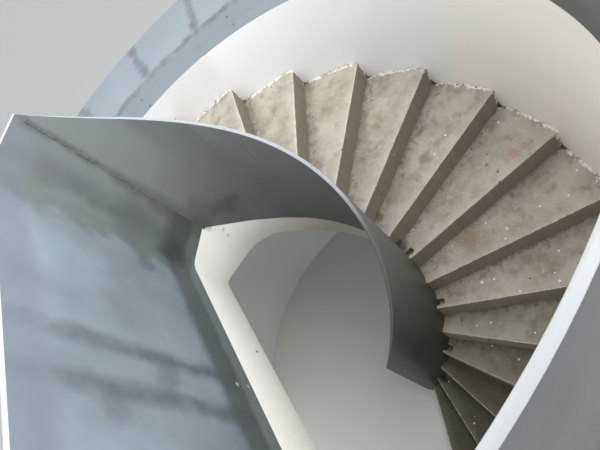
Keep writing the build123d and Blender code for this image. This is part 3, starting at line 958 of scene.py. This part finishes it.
def cast_step(number, finish):
    """A step as it came from the formwork.

    Its nosing is worn, its joints at the wall and at the string are ragged, and mortar is left
    in a small cove at the foot of the next riser.
    """
    node_name = f"step_{number:02d}"
    piece = merged_copy(node_name, f"cast_{node_name}")
    top = number * RISER
    nosing = FIRST_NOSING + (number - 1) * STEP_ANGLE
    backwards = uphill(nosing)
    onwards = uphill(nosing + STEP_ANGLE)
    let_in(piece, number, onwards)
    voxelled(piece, VOXEL)

    def at_nosing(place):
        back = (place - WELL_AXIS).dot(backwards)
        return 1 - sqrt(back**2 + (top - place.z) ** 2) / NOSING_WEAR

    def at_rim(place):
        if place.z < top - RIM_DEPTH:
            return 0
        at_wall = 1 - (WELL_RADIUS - level_offset(place, WELL_AXIS).length) / WALL_RIM
        at_string = 1 - (level_offset(place, EYE_AXIS).length - EYE_RADIUS) / STRING_RIM
        return max(at_wall, at_string)

    def on_tread(place):
        return 1 if place.z > top - TOP_LAYER else 0

    def in_cove(place):
        if place.z < top - TOP_LAYER or number == STEP_COUNT:
            return 0
        return max(0, 1 + (place - WELL_AXIS).dot(onwards) / COVE) ** 2

    for group, measure, texture, strength, middle in (
        ("tread", on_tread, trowel_waves, 5 * MM, 0.5),
        ("nosing", at_nosing, broken_edge, 8 * MM, 0.95),
        ("rim", at_rim, ragged_joint, 12 * MM, 0.55),
        ("cove", in_cove, trowel_waves, 22 * MM, 0),
    ):
        weigh(piece, group, measure)
        uneven(piece, texture, strength, middle, group)
    apply_all(piece)
    piece.vertex_groups.clear()
    piece.data.materials.append(finish)
    hand_over(piece, "raw_concrete", node_name)


def finished(node_name, slot, finish, edge):
    """A plate or a plastered mass, with its edges slightly rounded."""
    piece = merged_copy(node_name, f"{node_name}_finished")
    ease_edges(piece, edge)
    smoothed(piece)
    piece.data.materials.append(finish)
    hand_over(piece, slot, node_name)
    return piece


def corner_filler(finish):
    """The ridge of filler left in the corner between the string and the landing guard.

    It is drawn out by hand, so it wanders, swells and thins out towards its ends.
    """
    foot = on_string(CORNER_ANGLE, FLOOR_LEVEL)
    length = FILLER_HEAD - FILLER_FOOT
    across = (on_panel(-BEND_REACH, FLOOR_LEVEL) - foot).normalized()
    bpy.ops.object.select_all(action="DESELECT")
    bpy.ops.mesh.primitive_cube_add(size=1, location=(0, 0, 0))
    piece = bpy.context.object
    piece.name = piece.data.name = "corner_filler"
    bpy.ops.object.mode_set(mode="EDIT")
    bpy.ops.mesh.select_all(action="SELECT")
    bpy.ops.transform.resize(
        value=(FILLER_WIDTH, FILLER_THICKNESS, length), center_override=(0, 0, 0)
    )
    bpy.ops.mesh.bevel(offset=FILLER_ROUNDING, segments=2, affect="EDGES")
    bpy.ops.object.mode_set(mode="OBJECT")
    voxelled(piece, FILLER_VOXEL)
    weigh(piece, "middle", lambda place: 1 - abs(2 * place.z / length) ** 4)
    uneven(piece, filler_drift, 16 * MM, 0.5)
    piece.modifiers[-1].direction = "X"
    uneven(piece, filler_lumps, 6 * MM, 0.62, "middle")
    apply_all(piece)
    piece.vertex_groups.clear()
    turned = Matrix.Rotation(Vector((1, 0, 0)).angle(across) * -1, 4, "Z")
    middle = foot + Vector((0, 0, (FILLER_FOOT + FILLER_HEAD) / 2))
    piece.matrix_world = Matrix.Translation(middle) @ turned
    bpy.ops.object.transform_apply(location=True, rotation=True, scale=True)
    piece.data.materials.append(finish)
    hand_over(piece, "grey_primer")


concrete = cast_concrete()
screed = floor_screed()
well_finish = wall_plaster()
slab_finish = edge_plaster()
primer = string_primer()
skim = panel_skim()
paint = guard_paint()

# What the nodes' names begin with, and then their slot, their finish and how far edges are eased
DRESSES = {
    "string_guard": ("grey_primer", primer, 4 * MM),
    "landing_guard": ("grey_primer", skim, 4 * MM),
    "well_guard": ("grey_primer", paint, 4 * MM),
    "waist_slab": ("white_plaster", slab_finish, 5 * MM),
    "landing_slab": ("white_plaster", slab_finish, 5 * MM),
    "well_wall": ("cream_plaster", well_finish, 3 * MM),
    "upper_floor": ("floor_screed", concrete, 3 * MM),
}


def is_upward(centre, normal):
    """Whether a face looks up, its eased edges included."""
    return normal.z > 0.3


def is_landing(centre, normal):
    """Whether a face of the landing slab is the floor of the landing."""
    return normal.z > 0.7 and centre.z > FLOOR_LEVEL - RISER / 2


def is_last_riser(centre, normal):
    """Whether a face of the landing slab is the riser over the last step."""
    return normal.dot(uphill(FIRST_NOSING + STEP_COUNT * STEP_ANGLE)) < -0.99


for step_number in range(1, STEP_COUNT + 1):
    cast_step(step_number, concrete)

for node_name in sorted(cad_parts):
    for start, dress in DRESSES.items():
        if node_name.startswith(start):
            piece = finished(node_name, *dress)
            if start in ("well_wall", "upper_floor"):
                finish_faces(piece, screed, is_upward)
            elif start == "landing_slab":
                finish_faces(piece, screed, is_landing)
                finish_faces(piece, concrete, is_last_riser)

corner_filler(skim)

# A plain floor, soft light and the camera
bpy.ops.object.select_all(action="DESELECT")
bpy.ops.mesh.primitive_plane_add(size=60, location=(0, 0, 0))
ground = bpy.context.object
ground.name = "stage_floor"
ground_finish, tree, shader, _ = begin("stage_floor")
give(tree, shader, Base_Color=colour("#d9d7d3"), Roughness=0.9)
ground.data.materials.append(ground_finish)

# The sky is brighter near the horizon, so that upright surfaces get as much light as level ones
world = bpy.data.worlds.new("studio")
world.use_nodes = True
sky = world.node_tree
up = add(sky, "SeparateXYZ", {0: add(sky, "TexCoord").outputs["Generated"]})
strength = add(sky, "MapRange", {0: up.outputs["Z"], 2: 0.7, 3: HORIZON_LIGHT, 4: OVERHEAD_LIGHT})
sky.nodes["Background"].inputs["Color"].default_value = colour("#e9edf2")
sky.links.new(strength.outputs[0], sky.nodes["Background"].inputs["Strength"])
bpy.context.scene.world = world


def soft_lamp(name, place, aim, width, height, power, tint):
    """A large soft box, turned towards what it lights."""
    data = bpy.data.lights.new(name, "AREA")
    data.shape = "RECTANGLE"
    data.size = width
    data.size_y = height
    data.energy = power
    data.color = colour(tint)[:3]
    lamp = bpy.data.objects.new(name, data)
    bpy.context.scene.collection.objects.link(lamp)
    lamp.location = place
    lamp.rotation_euler = (aim - place).to_track_quat("-Z", "Y").to_euler()


# One box on the photographer's side, over the guard on the wall, and a weaker one overhead
soft_lamp(
    "side_box",
    around(2.6, 84, 6.0),
    on_panel(0.2, 2.2),
    width=3.0,
    height=2.0,
    power=160,
    tint="#fffefc",
)
soft_lamp(
    "top_box",
    WELL_AXIS + Vector((0.4, -1.3, 6.2)),
    around(0.9, 80, 1.5),
    width=3.5,
    height=3.5,
    power=95,
    tint="#ffffff",
)

camera_data = bpy.data.cameras.new("photo_camera")
camera_data.sensor_width = CAMERA_SENSOR
camera_data.lens = CAMERA_LENS
camera_data.clip_start = 0.02
camera = bpy.data.objects.new("photo_camera", camera_data)
bpy.context.scene.collection.objects.link(camera)
turned = Matrix((CAMERA_RIGHT, CAMERA_UP, CAMERA_BACK)).transposed().to_4x4()
camera.matrix_world = Matrix.Translation(CAMERA_PLACE) @ turned
bpy.context.scene.camera = camera
bpy.context.scene.view_settings.view_transform = "Standard"
